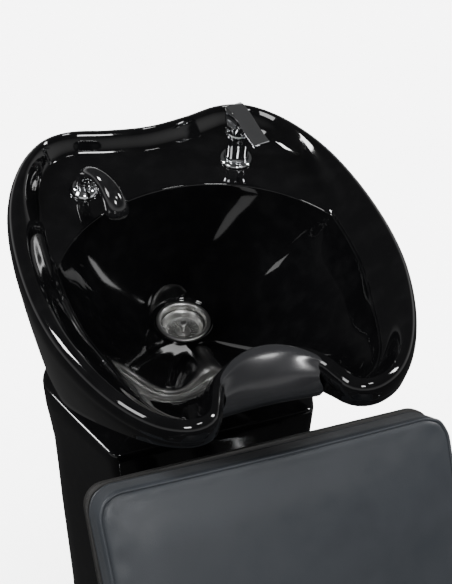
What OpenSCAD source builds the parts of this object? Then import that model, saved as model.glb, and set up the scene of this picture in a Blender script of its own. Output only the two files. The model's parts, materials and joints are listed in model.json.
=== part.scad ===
// Shampoo backwash unit: a ceramic basin that tilts on a pedestal, with a fixed salon chair in front.
// Millimetres, +Z up, floor at Z = 0, origin at the centre of the pedestal's floor bolts.
// +Y points from the chair towards the pedestal, +X to the client's left.

/* [Basin] */
// Tilt of the rim plane in the stored pose, in degrees
basin_tilt = 10.6; // [8:0.2:12]
// Depth of the bowl from the rim plane to the drain
bowl_depth = 222; // [210:1:226]
// Depth of the tap deck and of the rim's inner foot
deck_depth = 28; // [24:1:32]
// Thickness of the ceramic
ceramic_t = 12; // [10:1:13]
// Lowest level of the outer skirt below the rim plane, at the back and sides
skirt_depth = 190; // [170:1:195]
// Share of the skirt below the rolled lip that is left at the front, above the chair's backrest
front_skirt = 0.08; // [0.06:0.01:0.2]

/* [Pedestal] */
// Height of the pedestal's front top edge
pedestal_h = 612; // [611:1:625]
// Slope of the pedestal's top, in millimetres of rise per millimetre
top_slope = 0.1; // [0.05:0.01:0.12]
// Thickness of the pedestal shell
shell_t = 5; // [4:0.5:6]
// Spacing of the floor bolts across the unit
bolt_x = 180; // [160:5:200]
// Spacing of the floor bolts along the unit
bolt_y = 130; // [120:5:135]

/* [Chair] */
// Recline of the backrest from the vertical, in degrees
recline = 30; // [28:1:32]
// Width of the backrest and seat cushions
cushion_w = 505; // [490:5:505]
// Height of the seat's top face
seat_h = 465; // [450:1:480]
// Outer radius of the chair's bent tube
tube_r = 12.5; // [11:0.5:14]

/* [Hidden] */
$fn = 48;

// ---- basin frame: local x across, local y from the chair to the back, local z out of the rim plane ----
rim_origin = [0, -391, 865];
drain = [0, 395];
drain_r = 45;           // flat ring that the waste flange sits in
drain_hole_r = 36;
foot_side = 40;         // width of the sloped wall between crest and foot at the sides
rim_samples = 88;

// Half of the rim's crest line, from the centre of the back edge to the centre of the neck notch
rim_half = [[0, 577], [60, 584], [112, 595], [150, 588], [182, 560], [208, 518], [227, 468], [239, 410],
            [245, 345], [245, 280], [238, 219], [223, 162], [204, 114], [182, 76], [158, 49], [134, 35],
            [113, 32], [97, 40], [87, 60], [76, 84], [56, 104], [28, 113], [0, 115]];
half_n = len(rim_half);
rim_pts = concat(rim_half, [for (i = [half_n - 2:-1:1]) [-rim_half[i][0], rim_half[i][1]]]);

function wrap(list, i) = list[(i + 4 * len(list)) % len(list)];
function spline_point(list, t) =
    let (i = floor(t), f = t - i, a = wrap(list, i - 1), b = wrap(list, i), c = wrap(list, i + 1), d = wrap(list, i + 2))
    0.5 * (2 * b + (c - a) * f + (2 * a - 5 * b + 4 * c - d) * f * f + (3 * b - a - 3 * c + d) * f * f * f);
function closed_spline(list, n) = [for (k = [0:n - 1]) spline_point(list, k * len(list) / n)];
function smooth_step(a, b, x) = let (t = min(1, max(0, (x - a) / (b - a)))) t * t * (3 - 2 * t);
function mix(a, b, t) = a + (b - a) * t;

crest = closed_spline(rim_pts, rim_samples);
// Outward unit normal of the crest line; the line runs clockwise seen from above
function crest_normal(i) = let (t = wrap(crest, i + 1) - wrap(crest, i - 1)) [-t[1], t[0]] / norm(t);
function offset_crest(i, d) = crest[i] + crest_normal(i) * d;
function polar_r(p) = norm(p - drain);
function polar_at(p, r) = drain + (p - drain) * r / norm(p - drain);

// Width of the sloped wall inside the crest: narrow at the back and around the neck notch, wide at the sides
function foot_width(p) =
    let (back = smooth_step(430, 570, p[1]), front = 1 - smooth_step(30, 190, p[1]),
         notch = (1 - smooth_step(120, 134, abs(p[0]))) * (1 - smooth_step(110, 190, p[1])))
    mix(mix(mix(foot_side, 19, back), 24, front), 12, notch);
function foot_point(i) = offset_crest(i, -foot_width(crest[i]));
// Front edge of the tap deck: a circular arc through the centre point and the two deck corners
deck_corner = [197, 366];
deck_mid_y = 477;
arc_rise = deck_mid_y - deck_corner[1];
arc_r = (deck_corner[0] * deck_corner[0] + arc_rise * arc_rise) / (2 * arc_rise);
arc_c = [0, deck_mid_y - arc_r];
// Distance from the drain centre to the arc along the direction of p
function arc_hit(p) =
    let (u = (p - drain) / norm(p - drain), o = drain - arc_c, b = o * u)
    -b + sqrt(b * b - o * o + arc_r * arc_r);
function cavity_r(i) =
    let (p = foot_point(i), r = polar_r(p) - 4)
    p[1] > deck_corner[1] - 60 ? min(r, arc_hit(p)) : r;
function cavity_z(rho) = -deck_depth - 3 - (bowl_depth - deck_depth - 3) * pow(1 - pow(rho, 1.15), 0.78);
function foot_curve(t) = 0.55 * t + 0.45 * smooth_step(0, 1, t);

function with_z(p, z) = [p[0], p[1], z];
function ring_at(level) = [for (i = [0:rim_samples - 1]) level_point(level, i)];
// One level of the basin's section at rim sample i: kind, value, height
function level_point(level, i) =
    let (kind = level[0], value = level[1], z = level[2], f = foot_point(i), rc = cavity_r(i))
    kind == "crest" ? with_z(offset_crest(i, value), z) :
    kind == "wall" ? with_z(offset_crest(i, -foot_width(crest[i]) * value), -deck_depth * foot_curve(value)) :
    kind == "deck" ? with_z(polar_at(f, mix(polar_r(f), rc, value)), -deck_depth - 3 * value) :
    kind == "bowl" ? with_z(polar_at(f, mix(drain_r, rc, value)), cavity_z(value)) :
    kind == "hole" ? with_z(polar_at(f, value), z) :
    kind == "under" ? with_z(polar_at(f, mix(drain_r, rc, value) + ceramic_t * (0.35 + 0.65 * value)),
                             cavity_z(value) - ceramic_t + 5 * value) :
    kind == "below_deck" ? with_z(polar_at(f, mix(rc + ceramic_t, polar_r(f) + 3, value)), z) :
    kind == "inner_skirt" ? skirt_point(i, skirt_z(i, z)) - 8 * [crest_normal(i)[0], crest_normal(i)[1], 0] :
    skirt_point(i, skirt_z(i, z));

function skirt_k(z) = 1 - 0.12 * pow(max(0, -z - 36) / (190 - 36), 1.15);
// Height of the skirt's level z at rim sample i: the part below the lip is cut short towards the front
function skirt_z(i, z) = -26 + (z + 26) * skirt_share(i);
function skirt_share(i) = mix(front_skirt, 1, smooth_step(20, 300, crest[i][1]));
function skirt_point(i, z) = let (o = offset_crest(i, 13)) with_z(polar_at(o, polar_r(o) * skirt_k(z)), z);
basin_levels = concat(
    [["crest", 0, 0], ["crest", -3, -0.8]],
    [for (t = [0.3, 0.55, 0.8, 1]) ["wall", t, 0]],
    [["deck", 0.5, 0], ["deck", 1, 0]],
    [for (rho = [0.9, 0.75, 0.6, 0.45, 0.3, 0.15, 0]) ["bowl", rho, 0]],
    [["hole", 41.5, -bowl_depth - 3], ["hole", 30, -bowl_depth - 3], ["hole", 30, -bowl_depth - 14]],
    [for (rho = [0, 0.2, 0.45, 0.7, 0.9]) ["under", rho, 0]],
    [["below_deck", 0.4, -deck_depth - 15], ["below_deck", 1, -deck_depth - 14]],
    [for (z = [-64, -110, -150, -skirt_depth + 2]) ["inner_skirt", 0, z]],
    [for (z = [-skirt_depth, -150, -110, -72]) ["skirt", 0, z]],
    [["crest", 14.5, -22], ["crest", 12.5, -11], ["crest", 7, -3]]);

// A tube-like surface that closes on itself both ways, from a list of rings with equal point counts
module ring_loft(rings) {
    m = len(rings);
    n = len(rings[0]);
    points = [for (r = rings) for (p = r) p];
    faces = [for (j = [0:m - 1]) for (i = [0:n - 1])
        let (a = j * n + i, b = j * n + (i + 1) % n, c = ((j + 1) % m) * n + (i + 1) % n, d = ((j + 1) % m) * n + i)
        for (f = [[a, b, c], [a, c, d]]) f];
    polyhedron(points, faces, convexity = 8);
}
// A solid from a list of open-ended rings, with a flat fan at each end
module ring_solid(rings) {
    m = len(rings);
    n = len(rings[0]);
    points = [for (r = rings) for (p = r) p];
    sides = [for (j = [0:m - 2]) for (i = [0:n - 1])
        let (a = j * n + i, b = j * n + (i + 1) % n, c = (j + 1) * n + (i + 1) % n, d = (j + 1) * n + i)
        for (f = [[a, b, c], [a, c, d]]) f];
    caps = [[for (i = [n - 1:-1:0]) i], [for (i = [0:n - 1]) (m - 1) * n + i]];
    polyhedron(points, concat(sides, caps), convexity = 4);
}
module on_basin() { translate(rim_origin) rotate([basin_tilt, 0, 0]) children(); }
// World position of a point given in the basin frame
function basin_world(p) = rim_origin + [p[0], p[1] * cos(basin_tilt) - p[2] * sin(basin_tilt),
                                        p[1] * sin(basin_tilt) + p[2] * cos(basin_tilt)];
module ring(r_out, r_in, h) {
    difference() {
        cylinder(r = r_out, h = h);
        translate([0, 0, -1]) cylinder(r = r_in, h = h + 2);
    }
}
module both_sides() { children(); mirror([1, 0, 0]) children(); }

tap = [111, 510];            // mixer axis on the deck
socket = [-122, 503];        // shower socket axis on the deck
deck_z = -deck_depth - 2;    // level of the deck near the fittings
seat_z = -bowl_depth - 3;    // level that the waste flange sits on
boss_x = 62;                 // basin bolts either side of the drain
plate_z = -bowl_depth - 18;  // underside of the bosses

// Hole through the deck with a flat seat above and below it
module fitting_seat(hole_r, seat_r) {
    translate([0, 0, deck_z - 40]) cylinder(r = hole_r, h = 60);
    translate([0, 0, deck_z]) cylinder(r = seat_r, h = 20);
    translate([0, 0, deck_z - 70]) cylinder(r = seat_r, h = 57);
}
module basin() {
    color("black") on_basin() difference() {
        union() {
            ring_loft([for (level = basin_levels) ring_at(level)]);
            for (x = [-boss_x, boss_x]) translate([x, drain[1], plate_z]) cylinder(r = 13, h = 16);
        }
        translate([0, drain[1], seat_z - 30]) cylinder(r = drain_hole_r, h = 30);
        translate([tap[0], tap[1], 0]) fitting_seat(17.5, 25.5);
        translate([socket[0], socket[1], 0]) fitting_seat(14, 22.5);
        for (x = [-boss_x, boss_x]) translate([x, drain[1], plate_z - 1]) cylinder(r = 5, h = 16);
    }
}

// ---- tilt hinge ----
pivot = [0, 40, 672];
ear_in = 80;         // inner face of the upper ears
ear_t = 5;
lower_in = 90;       // inner face of the lower ears
lower_t = 6;
pivot_r = 6;
run = 0.05;          // radial clearance of a running fit
waste_y = 54;        // where the waste tail crosses the frame's top plate

module ear(x, t, from_z, r) {
    translate([x, pivot[1], pivot[2]]) rotate([0, 90, 0]) cylinder(r = r, h = t);
    translate([x, pivot[1] - r, from_z]) cube([t, 2 * r, pivot[2] - from_z]);
}
module tilt_bracket_lower() {
    color("dimgray") both_sides() difference() {
        union() {
            translate([0, -20, 600.2]) cube([112, 115, 5]);
            ear(lower_in, lower_t, 603, 17);
        }
        translate([0, waste_y, 590]) cylinder(r = 40, h = 30);
        translate([lower_in - 1, pivot[1], pivot[2]]) rotate([0, 90, 0]) cylinder(r = pivot_r + run, h = 10);
        bracket_bolt_places() translate([0, 0, -10]) cylinder(r = 4.3, h = 20);
    }
}
// Bolts that hold the lower bracket on the frame's top plate, with z from that plate's top face
module bracket_bolt_places() { for (x = [-104, 104]) for (y = [-9, 84]) translate([x, y, 600]) children(); }
module bracket_bolts() {
    color("silver") bracket_bolt_places() {
        translate([0, 0, -15]) cylinder(r = 4, h = 21);
        translate([0, 0, 5.4]) cylinder(r = 7.4, h = 5.5, $fn = 6);
        translate([0, 0, -14.8]) cylinder(r = 7.4, h = 6.5, $fn = 6);
    }
}
pivot_local = [pivot[1] - rim_origin[1], pivot[2] - rim_origin[2]];
pivot_y = pivot_local[0] * cos(basin_tilt) + pivot_local[1] * sin(basin_tilt);
pivot_z = -pivot_local[0] * sin(basin_tilt) + pivot_local[1] * cos(basin_tilt);
module tilt_bracket_upper() {
    color("dimgray") on_basin() difference() {
        union() {
            translate([-ear_in - ear_t, drain[1] - 62, plate_z - 5]) cube([2 * (ear_in + ear_t), 124, 5]);
            for (x = [-ear_in - ear_t, ear_in]) {
                translate([x, pivot_y - 16, pivot_z]) cube([ear_t, 32, plate_z - pivot_z]);
                translate([x, pivot_y, pivot_z]) rotate([0, 90, 0]) cylinder(r = 16, h = ear_t);
            }
        }
        translate([0, drain[1], plate_z - 10]) cylinder(r = 47, h = 20);
        for (x = [-boss_x, boss_x]) translate([x, drain[1], plate_z - 10]) cylinder(r = 5.3, h = 20);
        translate([-120, pivot_y, pivot_z]) rotate([0, 90, 0]) cylinder(r = pivot_r + run, h = 240);
    }
}
module basin_bolts() {
    color("silver") on_basin() for (x = [-boss_x, boss_x]) translate([x, drain[1], plate_z]) {
        translate([0, 0, -5.2]) cylinder(r = 4.95, h = 19);
        translate([0, 0, -11.5]) cylinder(r = 8.5, h = 6.4, $fn = 6);
    }
}
module pivot_bolts() {
    color("silver") both_sides() translate([0, pivot[1], pivot[2]]) rotate([0, 90, 0]) {
        translate([0, 0, 66]) cylinder(r = pivot_r, h = 32);
        translate([0, 0, lower_in + lower_t + 0.2]) cylinder(r = 10, h = 7.5, $fn = 6);
    }
}
module pivot_nuts() {
    color("silver") both_sides() translate([69.5, pivot[1], pivot[2]]) rotate([0, 90, 0]) difference() {
        cylinder(r = 10, h = 10, $fn = 6);
        translate([0, 0, -1]) cylinder(r = pivot_r + run, h = 12);
    }
}
module friction_washers() {
    color("darkgray") both_sides() translate([ear_in + ear_t + 0.15, pivot[1], pivot[2]]) rotate([0, 90, 0])
        ring(14, pivot_r + run, 4.7);
}

// ---- waste ----
module waste_flange() {
    color("lightgray") on_basin() translate([0, drain[1], seat_z]) rotate_extrude($fn = 72)
        polygon([[41, 0.05], [40.4, 1.6], [38.5, 2.6], [35.5, 2.2], [33.8, 0.6], [33, -2], [32.6, -20], [31, -24],
                 [18.5, -24], [18.5, -70], [20, -70], [20, -26], [32.5, -26], [34.4, -22], [34.8, -4], [35.4, 0.05]]);
}
module waste_gasket() {
    color("dimgray") on_basin() translate([0, drain[1], -bowl_depth - 17.3]) ring(44, 35.2, 3);
}
module waste_lock_nut() {
    color("lightgray") on_basin() translate([0, drain[1], -bowl_depth - 24.5]) difference() {
        cylinder(r = 44, h = 7, $fn = 12);
        translate([0, 0, -1]) cylinder(r = 35, h = 9);
    }
}
basket_z = seat_z - 9;       // rim of the basket inside the flange's cup
module strainer_basket() {
    color("lightgray") on_basin() translate([0, drain[1], basket_z]) difference() {
        rotate_extrude($fn = 72) polygon([[31.6, 0], [31.6, 1], [29.5, 1], [27.5, -1], [25, -9], [21, -11], [6, -12],
                                          [2, -12], [2, -13], [6, -13], [21.6, -12], [26, -9.8], [28.4, -1.6], [30, 0]]);
        for (a = [0:15:345]) rotate(a) translate([12, -0.9, -16]) cube([10.5, 1.8, 7]);
    }
}
module strainer_knob() {
    color("silver") on_basin() translate([0, drain[1], basket_z - 13]) rotate_extrude($fn = 36)
        polygon([[0, -4], [4, -4], [4, -0.1], [1.9, -0.1], [1.9, 2], [3.5, 3], [3.2, 11], [5.8, 13], [5.8, 17],
                 [4.2, 18.6], [0, 19]]);
}
hose_start = basin_world([0, drain[1], seat_z - 72]);
hose_r = 19;
trap_c = [0, 66];            // axis of the bottle trap
trap_top = 470;
waste_route = [hose_start, hose_start + [0, 3, -16], [0, 66, 590], [0, 66, 560], [0, 66, 520], [0, 66, trap_top + 1]];
module waste_hose() { color("dimgray") sweep_tube(smooth_route(waste_route, 18), hose_r, 12); }
module bottle_trap() {
    color("white") translate([trap_c[0], trap_c[1], 0]) {
        translate([0, 0, 330]) cylinder(r = 34, h = 108);
        translate([0, 0, 322]) cylinder(r = 30, h = 8.5);
        translate([0, 0, 437]) cylinder(r = 22, h = trap_top - 437);
        translate([0, 30, outlet_z]) rotate([-90, 0, 0]) cylinder(r = outlet_r, h = outlet_y - 40.2 - trap_c[1] - 30);
    }
}
outlet_y = 152;
outlet_z = 405;
outlet_r = 20;
module waste_outlet_pipe() {
    color("white") {
        translate([0, outlet_y, 20]) cylinder(r = outlet_r, h = outlet_z - 60);
        translate([0, outlet_y - 40, outlet_z - 40]) rotate([90, 0, 90])
            rotate_extrude(angle = 90) translate([40, 0]) circle(r = outlet_r);
        translate([0, outlet_y - 48, outlet_z]) rotate([-90, 0, 0]) ring(26, outlet_r + 0.3, 12);
    }
}

// ---- swept tubes ----
function smooth_route(list, n) =
    let (last = len(list) - 1)
    [for (k = [0:n]) let (t = k * last / n, i = min(last - 1, floor(t)), f = t - i,
        a = list[max(0, i - 1)], b = list[i], c = list[i + 1], d = list[min(last, i + 2)])
        0.5 * (2 * b + (c - a) * f + (2 * a - 5 * b + 4 * c - d) * f * f + (3 * b - a - 3 * c + d) * f * f * f)];
function unit(v) = v / norm(v);
function tangent(path, i) = unit(path[min(len(path) - 1, i + 1)] - path[max(0, i - 1)]);
// Frames that turn with the path without twisting about it
function frames(path, i = 0, prev = [1, 0, 0]) =
    i >= len(path) ? [] :
    let (t = tangent(path, i), x = unit(prev - t * (prev * t))) concat([[x, cross(t, x)]], frames(path, i + 1, x));
function radius_at(r, i) = is_list(r) ? r[i] : r;
module sweep_tube(path, r, sides, start = [1, 0, 0]) {
    fr = frames(path, 0, start);
    ring_solid([for (i = [0:len(path) - 1])
        [for (k = [sides - 1:-1:0]) let (a = 360 * k / sides)
            path[i] + radius_at(r, i) * (cos(a) * fr[i][0] + sin(a) * fr[i][1])]]);
}

// ---- mixer ----
body_top = 52;               // height of the mixer column above the deck
lever_hinge = 60;            // height of the lever's hinge above the deck
tail_x = 13;                 // supply tails either side of the shower outlet under the mixer
module on_tap() { on_basin() translate([tap[0], tap[1], deck_z]) children(); }
module mixer_base_ring() {
    color("silver") on_tap() rotate_extrude($fn = 60)
        polygon([[18.1, 0.6], [24, 0.6], [24.6, 2.4], [23.6, 4.6], [21, 6], [18.1, 6]]);
}
module mixer_body() {
    color("silver") on_tap() {
        rotate_extrude($fn = 60) polygon([[0, 0.8], [17.2, 0.8], [17.2, 7], [16.2, 12], [16.6, 36], [17.8, 48], [17.8, body_top],
                                          [0, body_top]]);
        translate([0, 0, -60]) cylinder(r = 5, h = 61.5);
        for (a = [-1, 1]) translate([a * tail_x, 0, -34]) cylinder(r = 3.6, h = 35.5);
    }
}
module mixer_fixing_nut() {
    color("goldenrod") on_tap() translate([0, 0, -24]) difference() {
        cylinder(r = 24, h = 5);
        translate([0, 0, -1]) cylinder(r = 17.2, h = 7);
    }
}
module cartridge_stem() {
    color("silver") on_tap() rotate(lever_yaw) {
        translate([0, 0, body_top + 0.2]) cylinder(r = 15.5, h = 2);
        translate([-4, -4, body_top + 2]) cube([8, 8, lever_hinge - body_top + 2]);
        translate([-16, 0, lever_hinge]) rotate([0, 90, 0]) cylinder(r = 2, h = 32);
    }
}
lever_w = 25;
lever_yaw = 10;
// Side outline of the lever strap, from its back top edge to its front tip, y towards the back
strap = [[20, 87], [12, 89.5], [0, 89], [-14, 86], [-30, 81.5], [-46, 78], [-62, 76.5], [-63, 72.5], [-46, 72.5],
         [-30, 75.5], [-17, 78], [-17, 60], [17, 60], [20, 80]];
module mixer_lever() {
    color("silver") on_tap() rotate(lever_yaw) difference() {
        union() {
            translate([lever_w / 2, 0, 0]) rotate([0, -90, 0]) linear_extrude(lever_w)
                polygon([for (p = strap) [p[1], p[0]]]);
            translate([0, 0, body_top + 3]) cylinder(r = 17.8, h = 14);
        }
        translate([0, 0, body_top + 2]) cylinder(r = 11.5, h = 12);
        translate([-30, -30, body_top - 1]) cube([60, 60, 4.2]);
        translate([-30, 0, body_top + 3.2]) rotate([24, 0, 0]) translate([0, -1, -20]) cube([60, 40, 20]);
        translate([-30, 0, lever_hinge]) rotate([0, 90, 0]) cylinder(r = 2 + run, h = 60);
    }
}
module temperature_dot() {
    color("red") on_tap() rotate(lever_yaw) translate([0, -17.9, 62]) rotate([90, 0, 0]) cylinder(r = 2.8, h = 1.2);
}

// ---- hand shower ----
module on_socket() { on_basin() translate([socket[0], socket[1], deck_z]) children(); }
module shower_socket() {
    color("silver") on_socket() rotate_extrude($fn = 60)
        polygon([[12, -26], [13.6, -26], [13.6, 0.4], [21, 0.4], [21.5, 3], [20, 6], [15.5, 11], [14, 11.5], [12.6, 11],
                 [12, 6]]);
}
module socket_nut() { color("goldenrod") on_socket() translate([0, 0, -21]) ring(20, 13.8, 6); }
module shower_cone() {
    color("silver") on_socket() {
        rotate_extrude($fn = 48) polygon([[0, -40], [7.5, -40], [7.5, -12], [10.6, -6], [11.7, 9], [11.7, 15], [0, 15]]);
        translate([0, 0, 14.9]) cylinder(r = 6, h = 6);
    }
}
shower_route = [[0, 0, 15.3], [0, 0, 22], [1, -5, 34], [5, -17, 45], [11, -33, 51], [17, -50, 49], [22, -64, 40],
                [25, -73, 28], [26, -78, 17]];
shower_radii = [11.5, 10.5, 9.8, 9.8, 10.4, 12.5, 15.5, 17.2, 16.2];
shower_rings = 24;
function radius_on(list, t) = let (i = min(len(list) - 2, floor(t))) mix(list[i], list[i + 1], t - i);
module hand_shower() {
    path = smooth_route(shower_route, shower_rings);
    radii = [for (k = [0:shower_rings]) radius_on(shower_radii, k * (len(shower_route) - 1) / shower_rings)];
    color("black") on_socket() difference() {
        sweep_tube(path, radii, 24);
        translate([0, 0, 10]) cylinder(r = 6.05, h = 11.4);
        translate([-20, -20, 5]) cube([40, 40, 10.3]);
    }
}
module spray_face() {
    path = smooth_route(shower_route, shower_rings);
    tip = path[shower_rings];
    dir = unit(tip - path[shower_rings - 1]);
    color("dimgray") on_socket() translate(tip + dir * 0.2)
        rotate([0, acos(dir[2]), atan2(dir[1], dir[0])]) cylinder(r1 = 14.5, r2 = 13, h = 3);
}

// ---- hoses held at both ends ----
supply_r = 6;
valve_y = 20;
valve_x = 42;
valve_top = 150;
// Under the basin, x, y and z in the basin frame; inside the pedestal, in the unit's frame
function under_basin(list) = [for (p = list) basin_world([p[0], p[1], deck_z - p[2]])];
hot_route = concat(
    under_basin([[tap[0] - tail_x, tap[1], 35], [tap[0] - tail_x - 1, 509, 70], [94, 504, 120], [86, 494, 170]]),
    [[70, 120, 700], [52, 110, 656], [44, 122, 600], [20, 124, 545], [-25, 116, 480], [-58, 88, 400], [-56, 48, 300],
     [-valve_x, valve_y, 220], [-valve_x, valve_y, valve_top + 1]]);
cold_route = concat(
    under_basin([[tap[0] + tail_x, tap[1], 35], [tap[0] + tail_x + 1, 509, 70], [122, 504, 120], [110, 494, 170]]),
    [[94, 120, 700], [79, 110, 656], [68, 119, 600], [66, 118, 540], [60, 100, 450], [58, 70, 380], [56, 40, 300],
     [valve_x, valve_y, 220], [valve_x, valve_y, valve_top + 1]]);
shower_hose_r = 6.5;
shower_hose_route = under_basin([[tap[0], tap[1], 62], [110, 516, 78], [102, 532, 94], [75, 541, 104], [20, 541, 110],
    [-60, 541, 106], [-104, 530, 92], [-121, 511, 66], [socket[0], socket[1], 42]]);
module hot_hose() { color("silver") sweep_tube(smooth_route(hot_route, 48), supply_r, 8); }
module cold_hose() { color("silver") sweep_tube(smooth_route(cold_route, 48), supply_r, 8); }
module shower_hose() { color("silver") sweep_tube(smooth_route(shower_hose_route, 32), shower_hose_r, 8); }

// ---- neck rest ----
rest_half = 71;
// Section of the neck rest at x: a bulging front over the lip of the neck notch
function rest_section(x) =
    let (s = x / rest_half, ty = 122 - 31 * s * s, by = 87 - 8 * s * s, top = 5 - 8 * s * s, low = -66 + 2 * s * s,
         b = 24 - 7 * s * s)
    [for (p = [[ty + 4, top - 26], [ty + 3, top - 8], [ty - 2, top - 1], [ty - 10, top + 1],
               [mix(ty, by, 0.25) - 0.75 * b, mix(top, low, 0.16)], [mix(ty, by, 0.45) - b, mix(top, low, 0.36)],
               [mix(ty, by, 0.7) - b, mix(top, low, 0.6)], [mix(ty, by, 0.9) - 0.75 * b, mix(top, low, 0.82)],
               [by - 0.35 * b, low], [by - 2, low - 3], [by + 8, low + 1], [mix(ty, by, 0.5) + 2, mix(top, low, 0.5)]])
        [x, p[0], p[1]]];
module neck_rest() {
    color("dimgray") on_basin()
        ring_solid([for (k = [0:14]) rest_section(-rest_half + 2 * rest_half * k / 14)]);
}

// ---- pedestal ----
front_y = -100;
// Height and half width of the pedestal's plan, which is widest at oval_y
oval_levels = [[0, 186], [90, 182], [230, 186], [400, 194], [480, 196.5], [520, 198.5], [560, 203.5], [600, 209],
               [680, 214]];
oval_y = 70;
function oval_at(z) =
    let (i = max([for (k = [0:len(oval_levels) - 2]) z >= oval_levels[k][0] ? k : 0]),
         p = oval_levels[i], q = oval_levels[i + 1], a = mix(p[1], q[1], (z - p[0]) / (q[0] - p[0])))
    [z, a, 0.59 * a];
oval_n = 40;
side_n = 8;
// Plan outline of the pedestal: half an oval at the back, tapered sides, a flat front with rounded corners
function oval_outline(z, inset) =
    let (o = oval_at(z), a = o[1] - inset, b = o[2] - inset, fy = front_y + inset, f = 0.74 * o[1] - 1.06 * inset,
         side = [for (k = [0:side_n - 1]) let (q = k == 0 ? 0.07 : k / side_n)
             [mix(f, a, 1 - pow(1 - q, 1.1)), mix(fy, oval_y, q)]],
         e = side[0], c = [f, fy], d = c - [12, 0],
         corner = [for (q = [0.25:0.25:1]) (1 - q) * (1 - q) * e + 2 * q * (1 - q) * c + q * q * d])
    concat(
        [for (k = [0:oval_n]) [a * cos(180 * k / oval_n), oval_y + b * sin(180 * k / oval_n)]],
        [for (k = [side_n - 1:-1:0]) [-side[k][0], side[k][1]]],
        [for (p = corner) [-p[0], p[1]]],
        [for (k = [3:-1:0]) corner[k]],
        [for (k = [0:side_n - 1]) side[k]]);
function top_z(p, drop) = pedestal_h + top_slope * (p[1] - front_y) - drop;
function wall_ring(z, inset) = [for (p = oval_outline(z, inset)) [p[0], p[1], z]];
function top_ring(inset, drop) = [for (p = oval_outline(pedestal_h, inset)) [p[0], p[1], top_z(p, drop)]];
opening_c = [0, 44];
opening_a = 122;
opening_b = 104;
function opening_ring(drop, grow) =
    [for (p = oval_outline(pedestal_h, 0)) let (d = p - opening_c, t = atan2(d[1] / opening_b, d[0] / opening_a),
        q = opening_c + [(opening_a + grow) * cos(t), (opening_b + grow) * sin(t)]) [q[0], q[1], top_z(q, drop)]];
shell_floor = 3;
wall_levels = [shell_floor, 60, 90, 150, 230, 310, 400, 460, 520, 560, 590];
panel_w = 116;
panel_low = 60;
panel_high = 560;
module shell_body() {
    ring_loft(concat(
        [for (z = wall_levels) wall_ring(z, 0)],
        [top_ring(0, 7), top_ring(1.6, 2.4), top_ring(6, 0)],
        [opening_ring(0, 0), opening_ring(shell_t, 0)],
        [top_ring(shell_t + 2, shell_t + 2)],
        [for (k = [10:-1:0]) wall_ring(wall_levels[k], shell_t)]));
}
module pedestal_shell() {
    color("black") difference() {
        shell_body();
        translate([-panel_w / 2, 120, panel_low + 14]) cube([panel_w, 160, panel_high - panel_low - 28]);
        for (x = [-link_x, link_x]) for (z = link_bolt_z)
            translate([x, front_y - 10, z]) rotate([-90, 0, 0]) cylinder(r = 4.3, h = 30);
        panel_screw_places() translate([0, 0, -20]) cylinder(r = 2.3, h = 30);
    }
}
panel_t = 3;
screw_x = panel_w / 2 + 8;
// Places children at the panel's screws, with local z out of the surface
module panel_screw_places() {
    for (x = [-screw_x, screw_x]) for (z = [panel_low + 25, panel_high - 25])
        let (o = oval_at(z), y = o[2] * sqrt(1 - pow(x / o[1], 2)), a = atan2(x * o[2] * o[2], y * o[1] * o[1]))
            translate([x, oval_y + y, z]) rotate([-90, 0, -a]) children();
}
module rear_panel() {
    color("black") difference() {
        intersection() {
            ring_loft(concat(
                [for (k = [1:9]) wall_ring(wall_levels[k], -panel_t - 0.4)],
                [for (k = [9:-1:1]) wall_ring(wall_levels[k], -0.4)]));
            translate([-screw_x - 10, 100, panel_low - 10]) cube([2 * screw_x + 20, 200, panel_high - panel_low + 20]);
        }
        panel_screw_places() translate([0, 0, -20]) cylinder(r = 2.3, h = 30);
    }
}
module panel_screws() {
    color("silver") panel_screw_places() {
        translate([0, 0, -8]) cylinder(r = 2.1, h = 13);
        translate([0, 0, panel_t + 1.6]) rotate_extrude() polygon([[0, 0], [4.6, 0], [4.3, 1.6], [2.8, 2.6], [0, 3]]);
    }
}

// ---- inner frame ----
post_x = 100;
post_w = 40;
post_y = 40;
module square_tube(w, h, t) {
    difference() {
        translate([-w / 2, -w / 2, 0]) cube([w, w, h]);
        translate([-w / 2 + t, -w / 2 + t, -1]) cube([w - 2 * t, w - 2 * t, h + 2]);
    }
}
module base_plate() {
    color("dimgray") difference() {
        translate([-120, -85, 0]) cube([240, 195, 8]);
        for (x = [-bolt_x / 2, bolt_x / 2]) for (y = [-bolt_y / 2, bolt_y / 2])
            translate([x, y, -1]) cylinder(r = 5.5, h = 10);
    }
}
module frame_posts() {
    color("dimgray") for (x = [-post_x, post_x]) translate([x, post_y, 8]) square_tube(post_w, 584, 3);
}
module frame_top_plate() {
    color("dimgray") difference() {
        translate([-125, -35, 592]) cube([250, 133, 8]);
        translate([0, waste_y, 590]) cylinder(r = 40, h = 12);
        bracket_bolt_places() translate([0, 0, -10]) cylinder(r = 4.3, h = 20);
    }
}
link_x = 100;
link_z = 360;
link_bolt_z = [link_z - 32, link_z + 32];
module front_bracket() {
    color("dimgray") difference() {
        union() {
            translate([-125, front_y + shell_t + 0.3, link_z - 42]) cube([250, 6, 84]);
            for (x = [-post_x, post_x]) translate([x - 15, front_y + shell_t + 6, link_z - 15])
                cube([30, post_y - post_w / 2 - front_y - shell_t - 6, 30]);
        }
        for (x = [-link_x, link_x]) for (z = link_bolt_z)
            translate([x, front_y - 1, z]) rotate([-90, 0, 0]) cylinder(r = 4.3, h = 20);
    }
}

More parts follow.
